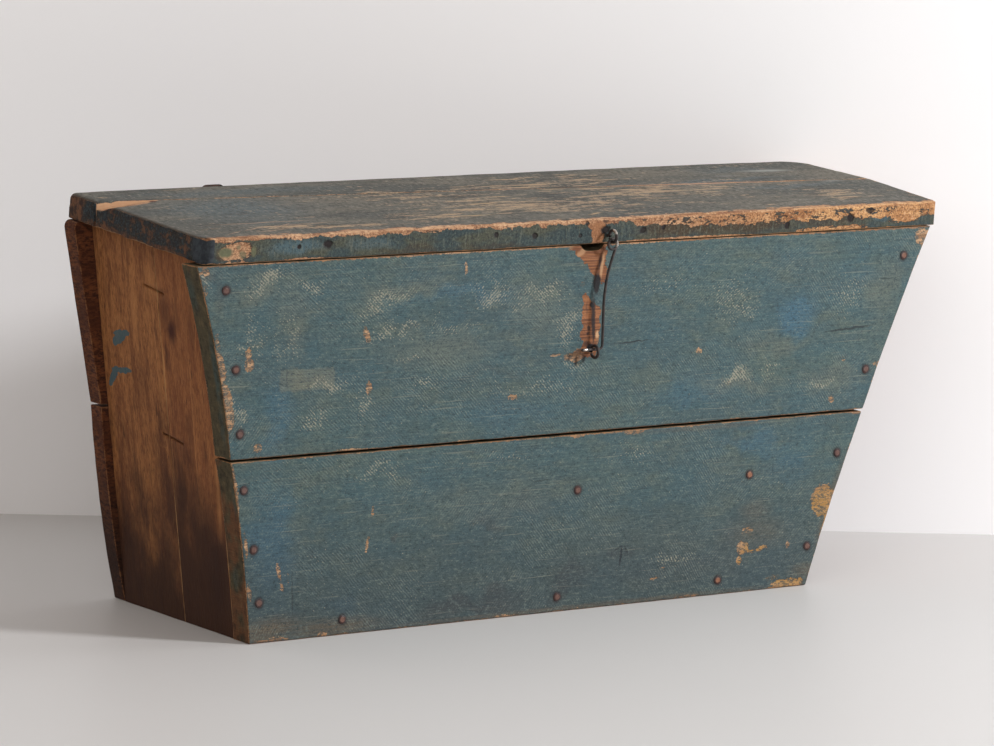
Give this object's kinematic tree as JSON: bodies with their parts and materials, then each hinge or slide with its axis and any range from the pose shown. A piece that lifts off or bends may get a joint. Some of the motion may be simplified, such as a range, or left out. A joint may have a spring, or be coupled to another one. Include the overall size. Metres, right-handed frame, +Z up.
{
  "type": "wooden chest",
  "caption": "Slope-sided plank chest with a hinged board lid on iron straps, closed in front by a bent wire hook and screw eyes.",
  "frame": {"origin": "on the floor below the middle of the whole object's bounding box", "axes": "+X to the right along the front, +Y from the front to the back, +Z up"},
  "size_m": [0.9044, 0.2767, 0.4052],
  "materials": {
    "worn_teal_paint": "worn matte oil paint over pine",
    "weathered_board": "bare, darkened pine",
    "inner_board": "bare sawn pine",
    "rusty_iron": "rusted, dull",
    "nail_iron": "rusted, dull"
  },
  "bodies": {
    "chest": {"front_board_upper": "worn_teal_paint", "front_board_lower": "worn_teal_paint", "back_board_upper": "weathered_board", "back_board_lower": "weathered_board", "left_end_board_front": "weathered_board", "left_end_board_back": "weathered_board", "right_end_board_front": "weathered_board", "right_end_board_back": "weathered_board", "bottom_board_front": "inner_board", "bottom_board_back": "inner_board", "hinge_strap_left": "rusty_iron", "hinge_strap_right": "rusty_iron", "hinge_pin_left": "rusty_iron", "hinge_pin_right": "rusty_iron", "lower_screw_eye": "rusty_iron", "nails_front_left": "nail_iron", "nails_front_right": "nail_iron", "nails_front_bottom": "nail_iron", "nails_back_left": "nail_iron", "nails_back_right": "nail_iron", "nails_back_bottom": "nail_iron", "nails_hinge_straps": "nail_iron"},
    "lid": {"lid_board_front": "worn_teal_paint", "lid_board_back": "worn_teal_paint", "lid_batten_left": "inner_board", "lid_batten_right": "inner_board", "hinge_leaf_left": "rusty_iron", "hinge_leaf_right": "rusty_iron", "upper_screw_eye": "rusty_iron", "nails_lid": "nail_iron", "nails_hinge_leaves": "nail_iron"},
    "hook": {"hook": "rusty_iron"}
  },
  "joints": [
    {"name": "lid_hinge", "type": "hinge", "parent": "chest", "child": "lid", "pos_m": [0, 0.1349, 0.37853], "axis": [-1, 0, 0], "range_deg": [0, 105]},
    {"name": "hook_pivot", "type": "hinge", "parent": "lid", "child": "hook", "pos_m": [0.0173, -0.1309, 0.3656], "axis": [0, -1, 0], "range_deg": [0, 95]}
  ]
}
